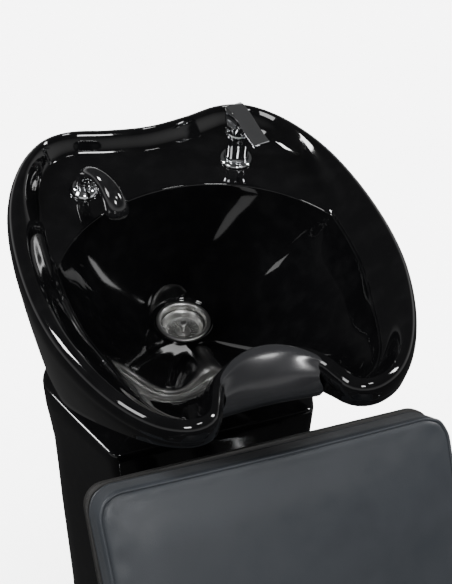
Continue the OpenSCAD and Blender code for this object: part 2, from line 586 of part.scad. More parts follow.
// ---- water supply ----
inlet_r = 10.5;
module supply_bracket() {
    color("dimgray") difference() {
        union() {
            translate([-75, valve_y - 20, 100]) cube([150, 40, 4]);
            for (x = [-75, 71]) translate([x, valve_y - 20, 8]) cube([4, 40, 93]);
        }
        for (x = [-valve_x, valve_x]) translate([x, valve_y, 99]) cylinder(r = 11, h = 6);
    }
}
module stop_valve(x, cap) {
    translate([x, valve_y, 0]) {
        color("silver") {
            translate([0, 0, 60]) cylinder(r = inlet_r, h = 37);
            translate([0, 0, 96]) cylinder(r = 9.8, h = 9);
            translate([0, 0, 104.2]) cylinder(r = 15, h = 22, $fn = 6);
            translate([0, 0, 126]) cylinder(r = 7, h = 14);
            translate([0, 0, 134]) cylinder(r = 9.5, h = valve_top - 134, $fn = 6);
        }
        color(cap) translate([0, -12, 116]) rotate([90, 0, 0]) {
            cylinder(r = 5, h = 14);
            translate([0, 0, 13]) cylinder(r = 12, h = 12);
        }
    }
}
module hot_valve() { stop_valve(-valve_x, "red"); }
module cold_valve() { stop_valve(valve_x, "blue"); }

// ---- chair ----
back_top = [-333, 767];      // y and z of the backrest's upper front edge
back_len = 385;
back_t = 72;
side_x = 285;                // plane of each side frame
frame_low = 24.5;            // axis height of the floor runner
frame_high = 597;            // axis height of the arm tube
frame_front = -930;
frame_rear = -490;
bend_r = 60;
rail_z = 352;
bar = 25;
rear_bar_y = frame_rear - bar / 2;
front_bar_y = frame_front - bar / 2;
seat_front = -985;
seat_back = -534;
pad_z = frame_high + tube_r + 0.4;

// A slab with rounded plan corners
module rounded_slab(w, d, h, r) {
    linear_extrude(h) {
        translate([-w / 2 + r, 0]) square([w - 2 * r, d]);
        translate([-w / 2, r]) square([w, d - 2 * r]);
        for (x = [-w / 2 + r, w / 2 - r]) for (y = [r, d - r]) translate([x, y]) circle(r = r);
    }
}
// Backrest frame: local y up the slope, local z out of the front face, origin at the top edge
module on_back() { translate([0, back_top[0], back_top[1]]) rotate([90 - recline, 0, 0]) children(); }
module backrest_cushion() {
    color("dimgray") on_back() translate([0, -back_len, -back_t]) rounded_slab(cushion_w, back_len, back_t, 34);
}
module backrest_board() {
    color("black") on_back() translate([0, -back_len + 6, -back_t - 12.3])
        rounded_slab(cushion_w - 12, back_len - 12, 12, 30);
}
strut_x = 150;
module backrest_struts() {
    color("silver") for (x = [-strut_x, strut_x]) translate([x, 0, 0]) {
        on_back() translate([-20, -back_len - 30, -back_t - 20.6]) cube([40, 300, 8]);
        translate([-20, rear_bar_y + bar + 0.1, rail_z - 8]) cube([40, 14, 34]);
    }
}
module seat_cushion() {
    color("dimgray") translate([0, seat_front, seat_h - 75]) rounded_slab(cushion_w, seat_back - seat_front, 75, 34);
}
module seat_board() {
    color("black") translate([0, seat_front + 12, seat_h - 88])
        rounded_slab(cushion_w - 24, seat_back - seat_front - 24, 12.7, 28);
}
module seat_rails() {
    color("silver") for (x = [-190, 190])
        translate([x - 12.5, front_bar_y + bar + 0.1, rail_z - 0.3]) cube([25, rear_bar_y - front_bar_y - bar - 0.2, 25]);
}
bolt_r = 4;
module crossbar(y) {
    difference() {
        translate([-side_x + tube_r + 0.2, y, rail_z]) cube([2 * (side_x - tube_r) - 0.4, bar, bar - 0.3]);
        for (x = [-side_x, side_x - 40])
            translate([x, y + bar / 2, rail_z + bar / 2]) rotate([0, 90, 0]) cylinder(r = bolt_r + run, h = 40);
    }
}
module seat_crossbar_front() { color("silver") crossbar(front_bar_y); }
module seat_crossbar_rear() { color("silver") crossbar(rear_bar_y); }
// Rounded rectangular loop of round tube in the YZ plane
module side_loop() {
    y0 = frame_front;
    y1 = frame_rear;
    z0 = frame_low;
    z1 = frame_high;
    for (z = [z0, z1]) translate([0, y0 + bend_r, z]) rotate([-90, 0, 0]) cylinder(r = tube_r, h = y1 - y0 - 2 * bend_r);
    for (y = [y0, y1]) translate([0, y, z0 + bend_r]) cylinder(r = tube_r, h = z1 - z0 - 2 * bend_r);
    for (c = [[y0 + bend_r, z0 + bend_r, 180], [y1 - bend_r, z0 + bend_r, 270],
              [y1 - bend_r, z1 - bend_r, 0], [y0 + bend_r, z1 - bend_r, 90]])
        translate([0, c[0], c[1]]) rotate([90, 0, 90]) rotate([0, 0, c[2]])
            rotate_extrude(angle = 90) translate([bend_r, 0]) circle(r = tube_r);
}
module side_frame(x) {
    color("silver") difference() {
        translate([x, 0, 0]) side_loop();
        for (y = [frame_front, frame_rear])
            translate([x - 20, y, rail_z + bar / 2]) rotate([0, 90, 0]) cylinder(r = bolt_r + run, h = 40);
    }
}
module side_frame_left() { side_frame(-side_x); }
module side_frame_right() { side_frame(side_x); }
module armrest_pad(x) {
    color("black") translate([x, frame_front + 40, pad_z]) rounded_slab(62, frame_rear - frame_front - 60, 34, 22);
}
module armrest_pad_left() { armrest_pad(-side_x - 2); }
module armrest_pad_right() { armrest_pad(side_x + 2); }
module foot_glides() {
    color("dimgray") for (x = [-side_x, side_x]) for (y = [frame_front + 75, frame_rear - 75])
        translate([x, y, 0]) cylinder(r = 14, h = frame_low - tube_r);
}
module link_beams() {
    color("dimgray") difference() {
        union() {
            translate([-125, front_y - 6.3, link_z - 42]) cube([250, 6, 84]);
            for (x = [-60, 60]) translate([x - 20, rear_bar_y + bar + 0.1, rail_z])
                cube([40, front_y - 6.3 - rear_bar_y - bar, bar]);
        }
        for (x = [-link_x, link_x]) for (z = link_bolt_z)
            translate([x, front_y - 20, z]) rotate([-90, 0, 0]) cylinder(r = 4.3, h = 30);
    }
}
module link_bolts() {
    color("silver") for (x = [-link_x, link_x]) for (z = link_bolt_z) translate([x, front_y - 6.5, z]) {
        rotate([-90, 0, 0]) cylinder(r = bolt_r, h = 26);
        rotate([90, 0, 0]) cylinder(r = 7, h = 5.5);
        translate([0, 18.4, 0]) rotate([-90, 0, 0]) cylinder(r = 7.5, h = 6, $fn = 6);
    }
}
module frame_bolts() {
    color("silver") for (x = [-1, 1]) for (y = [frame_front, frame_rear])
        translate([x * (side_x + tube_r), y, rail_z + bar / 2]) rotate([0, x * 90, 0]) {
            translate([0, 0, 0.2]) cylinder(r = 7, h = 4.5);
            translate([0, 0, -50]) cylinder(r = bolt_r, h = 51);
        }
}

base_plate();
frame_posts();
frame_top_plate();
front_bracket();
tilt_bracket_lower();
bracket_bolts();
pivot_bolts();
pivot_nuts();
friction_washers();
pedestal_shell();
rear_panel();
panel_screws();
bottle_trap();
waste_outlet_pipe();
supply_bracket();
hot_valve();
cold_valve();
link_beams();
link_bolts();
seat_crossbar_front();
seat_crossbar_rear();
seat_rails();
seat_board();
seat_cushion();
backrest_cushion();
backrest_board();
backrest_struts();
side_frame_left();
side_frame_right();
armrest_pad_left();
armrest_pad_right();
frame_bolts();
foot_glides();
basin();
tilt_bracket_upper();
basin_bolts();
neck_rest();
waste_flange();
waste_gasket();
waste_lock_nut();
waste_hose();
mixer_base_ring();
mixer_body();
mixer_fixing_nut();
hot_hose();
cold_hose();
shower_hose();
shower_socket();
socket_nut();
cartridge_stem();
mixer_lever();
temperature_dot();
shower_cone();
hand_shower();
spray_face();
strainer_basket();
strainer_knob();
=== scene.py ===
"""Looks of the shampoo backwash unit: ceramic basin, pedestal, fittings and salon chair.

Metres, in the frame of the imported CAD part; the basin, cushions and hoses are laid out in
millimetres first. The basin, the hand shower, the hoses and the soft parts are rebuilt here as
smooth surfaces; everything else is the CAD part with a finish on it.
"""

import json
import math

import bpy
import numpy as np
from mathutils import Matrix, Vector


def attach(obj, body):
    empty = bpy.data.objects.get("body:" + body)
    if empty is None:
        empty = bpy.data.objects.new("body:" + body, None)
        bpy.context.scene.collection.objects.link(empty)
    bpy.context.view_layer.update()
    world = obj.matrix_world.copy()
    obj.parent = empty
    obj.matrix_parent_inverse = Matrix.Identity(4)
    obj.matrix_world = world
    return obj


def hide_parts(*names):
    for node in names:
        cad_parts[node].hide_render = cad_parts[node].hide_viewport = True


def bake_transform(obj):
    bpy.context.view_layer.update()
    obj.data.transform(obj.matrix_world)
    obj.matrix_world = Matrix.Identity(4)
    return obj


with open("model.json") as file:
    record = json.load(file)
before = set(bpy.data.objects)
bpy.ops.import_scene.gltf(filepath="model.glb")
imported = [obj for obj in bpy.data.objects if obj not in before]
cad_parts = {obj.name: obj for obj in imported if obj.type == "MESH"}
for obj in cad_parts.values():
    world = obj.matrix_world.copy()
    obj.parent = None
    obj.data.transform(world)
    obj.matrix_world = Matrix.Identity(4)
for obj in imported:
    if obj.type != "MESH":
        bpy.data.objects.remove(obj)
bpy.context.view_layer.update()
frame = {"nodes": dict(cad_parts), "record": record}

MM = 0.001

# ------------------------------------------------------------------ small tools


def smooth_step(a, b, x):
    t = np.clip((np.asarray(x, float) - a) / (b - a), 0, 1)
    return t * t * (3 - 2 * t)


def mix(a, b, t):
    return a + (b - a) * t


def unit(v):
    v = np.asarray(v, float)
    return v / np.maximum(np.linalg.norm(v, axis=-1, keepdims=True), 1e-12)


def catmull(points, count, closed=False):
    """count samples of the spline through points, evenly spaced in the spline's own parameter."""
    points = np.asarray(points, float)
    n = len(points)
    t = np.linspace(0, n if closed else n - 1, count, endpoint=not closed)
    i = np.minimum(np.floor(t).astype(int), n - (1 if closed else 2))
    f = (t - i)[:, None]

    def at(k):
        return points[k % n] if closed else points[np.clip(k, 0, n - 1)]

    a, b, c, d = at(i - 1), at(i), at(i + 1), at(i + 2)
    return 0.5 * (2 * b + (c - a) * f + (2 * a - 5 * b + 4 * c - d) * f ** 2
                  + (3 * b - a - 3 * c + d) * f ** 3)


def resample(path, count, closed=False):
    """path again as count points at equal distances along it."""
    path = np.asarray(path, float)
    if closed:
        path = np.vstack([path, path[:1]])
    run = np.concatenate([[0], np.cumsum(np.linalg.norm(np.diff(path, axis=0), axis=1))])
    want = np.linspace(0, run[-1], count, endpoint=not closed)
    return np.stack([np.interp(want, run, path[:, k]) for k in range(path.shape[1])], 1)


def mesh_piece(name, points, faces, sharp=None):
    """A smooth-shaded mesh object; edges that turn by more than sharp degrees stay crisp."""
    mesh = bpy.data.meshes.new(name)
    mesh.from_pydata([tuple(p) for p in points], [], faces)
    mesh.validate()
    mesh.polygons.foreach_set("use_smooth", [True] * len(mesh.polygons))
    if sharp is not None:
        mesh.set_sharp_from_angle(angle=math.radians(sharp))
    mesh.update()
    piece = bpy.data.objects.new(name, mesh)
    bpy.context.scene.collection.objects.link(piece)
    return piece


def loft(rings, wrap=False, caps=False):
    """Points and faces of a surface through closed rings of equal length.

    With wrap the last ring joins the first, with caps the two end rings are closed.
    """
    rings = np.asarray(rings, float)
    m, n = rings.shape[:2]
    faces = []
    for j in range(m if wrap else m - 1):
        for i in range(n):
            a, b = j * n + i, j * n + (i + 1) % n
            k = (j + 1) % m
            faces.append((a, b, k * n + (i + 1) % n, k * n + i))
    if caps:
        faces.append(tuple(reversed(range(n))))
        faces.append(tuple(range((m - 1) * n, m * n)))
    return rings.reshape(-1, 3), faces


def tube_rings(path, radius, sides):
    """Rings of a tube along path, turned with the path and never twisted about it."""
    path = np.asarray(path, float)
    radius = np.broadcast_to(np.asarray(radius, float), (len(path),))
    tangent = unit(np.gradient(path, axis=0))
    across = np.array([1.0, 0, 0])
    angle = np.linspace(0, 2 * math.pi, sides, endpoint=False)
    rings = []
    for p, r, t in zip(path, radius, tangent):
        across = unit(across - t * (across @ t))
        up = np.cross(t, across)
        rings.append(p + r * (np.cos(angle)[:, None] * across + np.sin(angle)[:, None] * up))
    return np.array(rings)


def apply_modifiers(piece):
    """Bakes the piece's modifiers into its mesh."""
    bpy.context.view_layer.update()
    seen = piece.evaluated_get(bpy.context.evaluated_depsgraph_get())
    mesh = bpy.data.meshes.new_from_object(seen)
    piece.modifiers.clear()
    piece.data = mesh


# ------------------------------------------------------------------ materials


class Finish:
    """A Principled material with a few procedural layers, in object coordinates."""

    def __init__(self, name, color, rough, **sockets):
        self.material = bpy.data.materials.new(name)
        self.material.use_nodes = True
        self.nodes = self.material.node_tree.nodes
        self.links = self.material.node_tree.links
        self.shader = self.nodes["Principled BSDF"]
        self.shader.inputs["Base Color"].default_value = (*color, 1)
        self.shader.inputs["Roughness"].default_value = rough
        for socket, value in sockets.items():
            self.shader.inputs[socket.replace("_", " ")].default_value = value
        self.color = color
        self.coords = self.nodes.new("ShaderNodeTexCoord")
        self.normal = None

    def stretched(self, scale):
        mapping = self.nodes.new("ShaderNodeMapping")
        mapping.inputs["Scale"].default_value = scale
        self.links.new(self.coords.outputs["Object"], mapping.inputs["Vector"])
        return mapping.outputs["Vector"]

    def noise(self, scale, detail, stretch=(1, 1, 1)):
        tex = self.nodes.new("ShaderNodeTexNoise")
        tex.inputs["Scale"].default_value = scale
        tex.inputs["Detail"].default_value = detail
        self.links.new(self.stretched(stretch), tex.inputs["Vector"])
        return tex.outputs["Fac"]

    def cells(self, scale):
        tex = self.nodes.new("ShaderNodeTexVoronoi")
        tex.feature = "DISTANCE_TO_EDGE"
        tex.inputs["Scale"].default_value = scale
        self.links.new(self.coords.outputs["Object"], tex.inputs["Vector"])
        return tex.outputs["Distance"]

    def ramp(self, value, low, high, out_low=0.0, out_high=1.0):
        node = self.nodes.new("ShaderNodeMapRange")
        limits = {"From Min": low, "From Max": high, "To Min": out_low, "To Max": out_high}
        for socket, number in limits.items():
            node.inputs[socket].default_value = number
        self.links.new(value, node.inputs["Value"])
        return node.outputs["Result"]

    def tint(self, value, other):
        """Base colour goes to other where value is 1."""
        node = self.nodes.new("ShaderNodeMix")
        node.data_type = "RGBA"
        node.inputs["A"].default_value = (*self.color, 1)
        node.inputs["B"].default_value = (*other, 1)
        self.links.new(value, node.inputs["Factor"])
        self.links.new(node.outputs["Result"], self.shader.inputs["Base Color"])
        return self

    def roughen(self, value, low, high):
        self.links.new(self.ramp(value, 0.3, 0.7, low, high), self.shader.inputs["Roughness"])
        return self

    def bump(self, value, depth, strength=1.0):
        """Adds relief of about depth metres."""
        node = self.nodes.new("ShaderNodeBump")
        node.inputs["Distance"].default_value = depth
        node.inputs["Strength"].default_value = strength
        self.links.new(value, node.inputs["Height"])
        if self.normal is not None:
            self.links.new(self.normal, node.inputs["Normal"])
        self.normal = node.outputs["Normal"]
        self.links.new(self.normal, self.shader.inputs["Normal"])
        return self


def make_finishes():
    made = {}

    def keep(slot, finish):
        made[slot] = finish.material

    f = Finish("glazed black ceramic", (0.004, 0.004, 0.0045), 0.03, Coat_Weight=0.15,
               Coat_Roughness=0.02)
    f.tint(f.ramp(f.noise(35, 4), 0.45, 0.75), (0.007, 0.007, 0.0075))
    f.roughen(f.noise(9, 4), 0.03, 0.07).bump(f.noise(14, 1), 0.0006, 0.12)
    keep("glazed_ceramic_black", f)

    f = Finish("gloss black shell", (0.005, 0.005, 0.0055), 0.06, Coat_Weight=0.1, Coat_Roughness=0.03)
    f.tint(f.ramp(f.noise(60, 5), 0.5, 0.8), (0.009, 0.009, 0.0095))
    f.roughen(f.noise(12, 4), 0.05, 0.12).bump(f.noise(9, 1), 0.0008, 0.12)
    keep("gloss_black_shell", f)

    f = Finish("smoky gel", (0.050, 0.051, 0.055), 0.22, Transmission_Weight=0.3, IOR=1.42,
               Coat_Weight=0.5, Coat_Roughness=0.14)
    f.tint(f.ramp(f.noise(14, 2), 0.35, 0.7), (0.036, 0.037, 0.040))
    f.roughen(f.noise(20, 2), 0.20, 0.27).bump(f.noise(40, 1), 0.0003, 0.15)
    keep("smoke_gel", f)

    f = Finish("black vinyl", (0.038, 0.044, 0.053), 0.42, Specular_IOR_Level=0.5, Sheen_Weight=0.06)
    f.tint(f.ramp(f.noise(9, 3), 0.35, 0.75), (0.046, 0.052, 0.061))
    f.roughen(f.noise(30, 3), 0.36, 0.48)
    f.bump(f.cells(850), 0.0004, 0.35).bump(f.noise(420, 4), 0.0003, 0.3)
    keep("black_vinyl", f)

    f = Finish("black board", (0.020, 0.020, 0.020), 0.5)
    f.tint(f.ramp(f.noise(30, 6, (1, 12, 12)), 0.4, 0.7), (0.032, 0.030, 0.028))
    f.bump(f.noise(90, 5, (1, 14, 14)), 0.0003, 0.4)
    keep("black_board", f)

    f = Finish("moulded foam skin", (0.018, 0.018, 0.019), 0.45)
    f.tint(f.ramp(f.noise(60, 4), 0.4, 0.7), (0.030, 0.030, 0.031))
    f.roughen(f.noise(20, 3), 0.38, 0.52).bump(f.cells(1100), 0.0003, 0.4)
    keep("moulded_foam", f)

    f = Finish("zinc plated steel", (0.55, 0.56, 0.58), 0.3, Metallic=1.0)
    f.tint(f.ramp(f.noise(22, 5), 0.35, 0.7), (0.66, 0.64, 0.58))
    f.roughen(f.noise(50, 4), 0.24, 0.42).bump(f.noise(300, 3), 0.0002, 0.3)
    keep("zinc_steel", f)

    f = Finish("powder coat", (0.022, 0.022, 0.024), 0.42)
    f.tint(f.ramp(f.noise(80, 5), 0.45, 0.75), (0.038, 0.038, 0.040))
    f.bump(f.noise(900, 2), 0.0002, 0.35)
    keep("powder_coated_steel", f)

    f = Finish("bolt steel", (0.60, 0.60, 0.61), 0.28, Metallic=1.0)
    f.tint(f.ramp(f.noise(120, 4), 0.4, 0.7), (0.48, 0.48, 0.47))
    f.roughen(f.noise(160, 4), 0.22, 0.4)
    keep("zinc_bolts", f)

    f = Finish("fibre", (0.22, 0.17, 0.12), 0.7)
    f.tint(f.ramp(f.noise(300, 5), 0.4, 0.7), (0.15, 0.11, 0.08)).bump(f.noise(500, 4), 0.0003, 0.5)
    keep("fibre_washer", f)

    f = Finish("stainless", (0.80, 0.80, 0.79), 0.34, Metallic=1.0)
    f.tint(f.ramp(f.noise(70, 4), 0.35, 0.7), (0.70, 0.695, 0.68))
    f.roughen(f.noise(260, 4, (1, 1, 6)), 0.28, 0.42).bump(f.noise(500, 2, (1, 1, 8)), 0.0001, 0.25)
    keep("stainless", f)

    f = Finish("chrome", (0.83, 0.84, 0.86), 0.05, Metallic=1.0)
    f.tint(f.ramp(f.noise(40, 5), 0.45, 0.8), (0.76, 0.775, 0.79))
    f.roughen(f.noise(30, 5), 0.03, 0.09)
    keep("chrome", f)

    f = Finish("white plastic", (0.78, 0.78, 0.76), 0.3, Subsurface_Weight=0.05)
    f.tint(f.ramp(f.noise(30, 4), 0.4, 0.75), (0.70, 0.70, 0.67)).roughen(f.noise(60, 3), 0.25, 0.4)
    keep("white_plastic", f)

    f = Finish("grey hose", (0.30, 0.30, 0.31), 0.45)
    f.tint(f.ramp(f.noise(40, 4), 0.4, 0.7), (0.22, 0.22, 0.23)).bump(f.noise(300, 3), 0.0002, 0.3)
    keep("grey_hose", f)

    f = Finish("black rubber", (0.018, 0.018, 0.018), 0.6)
    f.tint(f.ramp(f.noise(90, 5), 0.4, 0.7), (0.034, 0.033, 0.032)).bump(f.noise(600, 4), 0.0002, 0.4)
    keep("black_rubber", f)

    f = Finish("braided steel", (0.55, 0.55, 0.56), 0.32, Metallic=0.9)
    # the gaps between the strands are painted darker: partly the dark inner tube showing through, partly
    # painted shade in the gaps
    f.tint(f.ramp(f.cells(420), 0.02, 0.22, 1.0, 0.0), (0.12, 0.12, 0.13)).bump(f.cells(420), 0.0006, 0.8)
    keep("braided_hose", f)

    f = Finish("black hose", (0.020, 0.020, 0.021), 0.3)
    f.tint(f.ramp(f.noise(90, 4), 0.4, 0.7), (0.034, 0.034, 0.035))
    keep("black_hose", f)

    f = Finish("brass", (0.66, 0.47, 0.19), 0.28, Metallic=1.0)
    f.tint(f.ramp(f.noise(80, 5), 0.35, 0.7), (0.50, 0.35, 0.14)).roughen(f.noise(90, 4), 0.22, 0.42)
    keep("brass_nut", f)

    f = Finish("red plastic", (0.72, 0.02, 0.015), 0.2, Coat_Weight=0.5)
    f.tint(f.ramp(f.noise(400, 3), 0.4, 0.7), (0.60, 0.015, 0.012))
    keep("red_plastic", f)

    f = Finish("gloss black plastic", (0.010, 0.010, 0.011), 0.07, Coat_Weight=0.6, Coat_Roughness=0.04)
    f.tint(f.ramp(f.noise(120, 4), 0.45, 0.75), (0.018, 0.018, 0.019)).roughen(f.noise(60, 4), 0.05, 0.12)
    keep("gloss_black_plastic", f)

    f = Finish("grey rubber", (0.09, 0.09, 0.09), 0.5)
    # painted shade: the grooves between the cells, where the relief sinks in, are coloured darker
    f.tint(f.ramp(f.cells(380), 0.05, 0.3, 1.0, 0.0), (0.02, 0.02, 0.02)).bump(f.cells(380), 0.0008, 0.6)
    keep("grey_rubber", f)
    return made


FINISHES = make_finishes()
NODE_SLOT = {s["node"]: s["material_slot"] for s in frame["record"]["subparts"]}
BODY_OF = {n: b for b, nodes in frame["record"]["behaviour"]["bodies"].items() for n in nodes}


def dress(piece, node):
    """The piece stands for a CAD node: same body, same material slot."""
    piece.data.materials.clear()
    piece.data.materials.append(FINISHES[NODE_SLOT[node]])
    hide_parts(node)
    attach(piece, BODY_OF[node])


# ------------------------------------------------------------------ camera, floor and light

EYE = Vector((-0.631, -1.859, 2.169))
AZIMUTH, ELEVATION = math.radians(20.2), math.radians(35.0)
LENS, SENSOR_WIDTH = 133, 36
FLOOR_HALF = 30
TARGET = (0, -0.1, 0.8)


def place_camera():
    """Looks down on the unit from in front of the chair and a little from the left."""
    camera = bpy.data.objects.new("camera", bpy.data.cameras.new("camera"))
    camera.data.sensor_fit = "HORIZONTAL"
    camera.data.sensor_width = SENSOR_WIDTH
    camera.data.lens = LENS
    camera.data.clip_end = 60
    camera.location = EYE
    level = math.cos(ELEVATION)
    sight = Vector((math.sin(AZIMUTH) * level, math.cos(AZIMUTH) * level, -math.sin(ELEVATION)))
    camera.rotation_euler = sight.to_track_quat("-Z", "Y").to_euler()
    bpy.context.scene.collection.objects.link(camera)
    bpy.context.scene.camera = camera


def pale_floor():
    corners = [(x * FLOOR_HALF, y * FLOOR_HALF, 0) for x, y in ((-1, -1), (1, -1), (1, 1), (-1, 1))]
    floor = mesh_piece("floor", corners, [(0, 1, 2, 3)])
    pale = Finish("pale floor", (0.92, 0.92, 0.92), 0.85)
    pale.tint(pale.ramp(pale.noise(3, 3), 0.3, 0.7), (0.90, 0.90, 0.90))
    floor.data.materials.append(pale.material)
    # the glaze in the photograph mirrors no pale floor, so this one throws nothing back at the unit
    floor.visible_glossy = False
    floor.visible_diffuse = False
    return floor


def studio_world():
    """Pale at the horizon and dark above and below it; heights are the sine of the elevation."""
    below, above = 0.05, 0.07
    world = bpy.data.worlds.new("studio")
    world.use_nodes = True
    nodes, links = world.node_tree.nodes, world.node_tree.links
    split = nodes.new("ShaderNodeSeparateXYZ")
    links.new(nodes.new("ShaderNodeTexCoord").outputs["Generated"], split.inputs["Vector"])
    level = nodes.new("ShaderNodeMapRange")
    level.inputs["From Min"].default_value = -1
    level.inputs["From Max"].default_value = 1
    links.new(split.outputs["Z"], level.inputs["Value"])
    ramp = nodes.new("ShaderNodeValToRGB")
    stops = ramp.color_ramp.elements
    for height, grey in ((-0.12, below), (-0.05, 0.7), (0.07, 0.7), (0.26, above)):
        stops.new(height / 2 + 0.5).color = (grey, grey, grey, 1)
    stops[0].color = (below, below, below, 1)
    stops[len(stops) - 1].color = (above, above, above, 1)
    links.new(level.outputs["Result"], ramp.inputs["Fac"])
    links.new(ramp.outputs["Color"], nodes["Background"].inputs["Color"])
    bpy.context.scene.world = world


def softbox(name, place, aim, size, power, receivers):
    """A rectangular area light of size (width, height) metres at place, facing aim."""
    lamp = bpy.data.lights.new(name, "AREA")
    lamp.shape = "RECTANGLE"
    lamp.size, lamp.size_y = size
    lamp.energy = power
    obj = bpy.data.objects.new(name, lamp)
    obj.location = place
    obj.rotation_euler = (Vector(aim) - Vector(place)).to_track_quat("-Z", "Y").to_euler()
    bpy.context.scene.collection.objects.link(obj)
    obj.light_linking.receiver_collection = receivers


def light_scene(floor):
    """Softboxes for everything but the floor, and one wide soft light for the floor alone."""
    not_floor = bpy.data.collections.new("not_floor")
    not_floor.objects.link(floor)
    not_floor.collection_objects[0].light_linking.link_state = "EXCLUDE"
    softbox("key", (-2.3, 0.9, 3.1), TARGET, (0.5, 0.75), 70, not_floor)
    softbox("fill", (2.6, -1.0, 2.7), TARGET, (0.4, 0.8), 50, not_floor)
    softbox("front", (-0.5, -3.4, 2.6), (0, -0.4, 0.7), (0.7, 0.45), 40, not_floor)
    softbox("front_high", (0.75, -2.1, 2.9), (0, 0.1, 0.9), (0.5, 0.25), 10, not_floor)
    softbox("left_front", (-2.3, -0.9, 2.45), (0.1, 0, 0.8), (0.8, 0.9), 26, not_floor)
    only_floor = bpy.data.collections.new("only_floor")
    only_floor.objects.link(floor)
    floor_light = bpy.data.objects.new("floor_light", bpy.data.lights.new("floor_light", "SUN"))
    floor_light.data.energy, floor_light.data.angle = 24, math.radians(80)
    floor_light.light_linking.receiver_collection = only_floor
    bpy.context.scene.collection.objects.link(floor_light)


place_camera()
FLOOR = pale_floor()
studio_world()
light_scene(FLOOR)

# ------------------------------------------------------------------ basin

TILT = math.radians(10.6)
RIM_ORIGIN = np.array([0, -391, 865.0])
RIM_SAMPLES = 288
DRAIN = np.array([0, 395.0])
DRAIN_R, BOWL_DEPTH, DECK_DEPTH, CERAMIC = 45, 222, 28, 12
DECK_CORNER, DECK_MID = np.array([197, 366.0]), 477
DECK_FALL = 3                 # how far the deck slopes down to its edge over the bowl
BOWL_INSET = 4                # the bowl starts this far inside the sloped wall's foot
# how blunt the bowl's upright creases are, as an angle about the drain; the CAD part's are sharp,
# so that in these creases the wall lies up to 15 mm from the CAD's
CREASE = math.radians(8)
OUTER = 13                    # the skirt's line outside the crest
SKIRT, SKIRT_TOP = 190, -26
FRONT_SKIRT = 0.08            # how much of the skirt's depth is left at the front horns
SKIRT_TAPER, TAPER_FROM = 0.12, 36
# how wide the sloped wall under the crest is, seen from above
FOOT_SIDE, FOOT_BACK, FOOT_FRONT, FOOT_NOTCH = 40, 19, 24, 12
RIM_HALF = [(0, 577), (60, 584), (112, 595), (150, 588), (182, 560), (208, 518), (227, 468), (239, 410),
            (245, 345), (245, 280), (238, 219), (223, 162), (204, 114), (182, 76), (158, 49), (134, 35),
            (113, 32), (97, 40), (87, 60), (76, 84), (56, 104), (28, 113), (0, 115)]
# the rolled lip, from its outside up to the crest, as distance outside the crest and height
LIP = [(14.9, -26), (15, -20), (14.2, -14), (12.4, -9), (9.6, -5), (6.4, -2.4), (3, -0.7)]


def basin_to_world(points):
    """From the basin's millimetres (across, back, out of the rim plane) to the row frame in metres."""
    p = np.asarray(points, float)
    c, s = math.cos(TILT), math.sin(TILT)
    out = np.stack([p[..., 0], p[..., 1] * c - p[..., 2] * s, p[..., 1] * s + p[..., 2] * c], -1)
    return (out + RIM_ORIGIN) * MM


class Rim:
    """The basin's crest line and what the section needs at each sample of it."""

    def __init__(self, samples):
        outline = RIM_HALF + [(-x, y) for x, y in RIM_HALF[-2:0:-1]]
        fine = catmull(outline, samples * 4, closed=True)
        self.crest = resample(fine, samples, closed=True)
        turn = np.roll(self.crest, -1, 0) - np.roll(self.crest, 1, 0)
        self.normal = unit(np.stack([-turn[:, 1], turn[:, 0]], 1))
        y = self.crest[:, 1]
        back, front = smooth_step(430, 570, y), 1 - smooth_step(30, 190, y)
        notch = (1 - smooth_step(120, 134, abs(self.crest[:, 0]))) * (1 - smooth_step(110, 190, y))
        self.foot_w = mix(mix(mix(FOOT_SIDE, FOOT_BACK, back), FOOT_FRONT, front), FOOT_NOTCH, notch)
        self.foot = self.crest - self.normal * self.foot_w[:, None]
        self.foot_r = np.linalg.norm(self.foot - DRAIN, axis=1)
        self.out = self.crest + self.normal * OUTER
        self.out_r = np.linalg.norm(self.out - DRAIN, axis=1)
        self.share = mix(FRONT_SKIRT, 1, smooth_step(20, 300, y))
        self.cavity = self.cavity_radius()
        self.blunt = self.evened_out(self.cavity)

    def cavity_radius(self):
        """The bowl's radius about the drain: up to the foot, or at the back up to the deck's arc."""
        rise = DECK_MID - DECK_CORNER[1]
        arc_r = (DECK_CORNER[0] ** 2 + rise ** 2) / (2 * rise)
        off = DRAIN - np.array([0, DECK_MID - arc_r])
        b = unit(self.foot - DRAIN) @ off
        arc = -b + np.sqrt(b * b - off @ off + arc_r ** 2)
        own = self.foot_r - BOWL_INSET
        return np.where(self.foot[:, 1] > DECK_CORNER[1] - 60, np.minimum(own, arc), own)

    def evened_out(self, radius):
        """radius with its corners evened out over the angle about the drain."""
        ray = unit(self.foot - DRAIN)
        angle = np.arctan2(ray[:, 1], ray[:, 0])
        apart = np.angle(np.exp(1j * (angle[:, None] - angle)))
        step = abs(np.angle(np.exp(1j * (np.roll(angle, -1) - np.roll(angle, 1)))))
        weight = np.exp(-0.5 * (apart / CREASE) ** 2) * step
        return weight @ radius / weight.sum(axis=1)

    def wall(self, rho):
        """The bowl's radius at a share rho of its width: sharp corners at the deck, blunt ones below."""
        return mix(DRAIN_R, mix(self.blunt, self.cavity, smooth_step(0.86, 1, rho)), rho)

    def shift(self, d, z):
        """The crest moved d outwards, at height z."""
        return self.level(self.crest + self.normal * d, z)

    def round_drain(self, r, z):
        """A ring at radius r about the drain, one point per sample of the rim."""
        return self.level(self.polar(self.foot, r), z)

    def skirt(self, z, inset):
        """The outer wall moved in by inset, at height z where the skirt has its full depth."""
        z = SKIRT_TOP + (z - SKIRT_TOP) * self.share
        k = 1 - SKIRT_TAPER * (np.maximum(0, -z - TAPER_FROM) / (SKIRT - TAPER_FROM)) ** 1.15
        return self.level(self.polar(self.out, self.out_r * k) - self.normal * inset, z)

    @staticmethod
    def level(xy, z):
        return np.column_stack([xy, np.broadcast_to(z, len(xy))])

    @staticmethod
    def polar(points, r):
        return DRAIN + unit(points - DRAIN) * np.broadcast_to(r, len(points))[:, None]


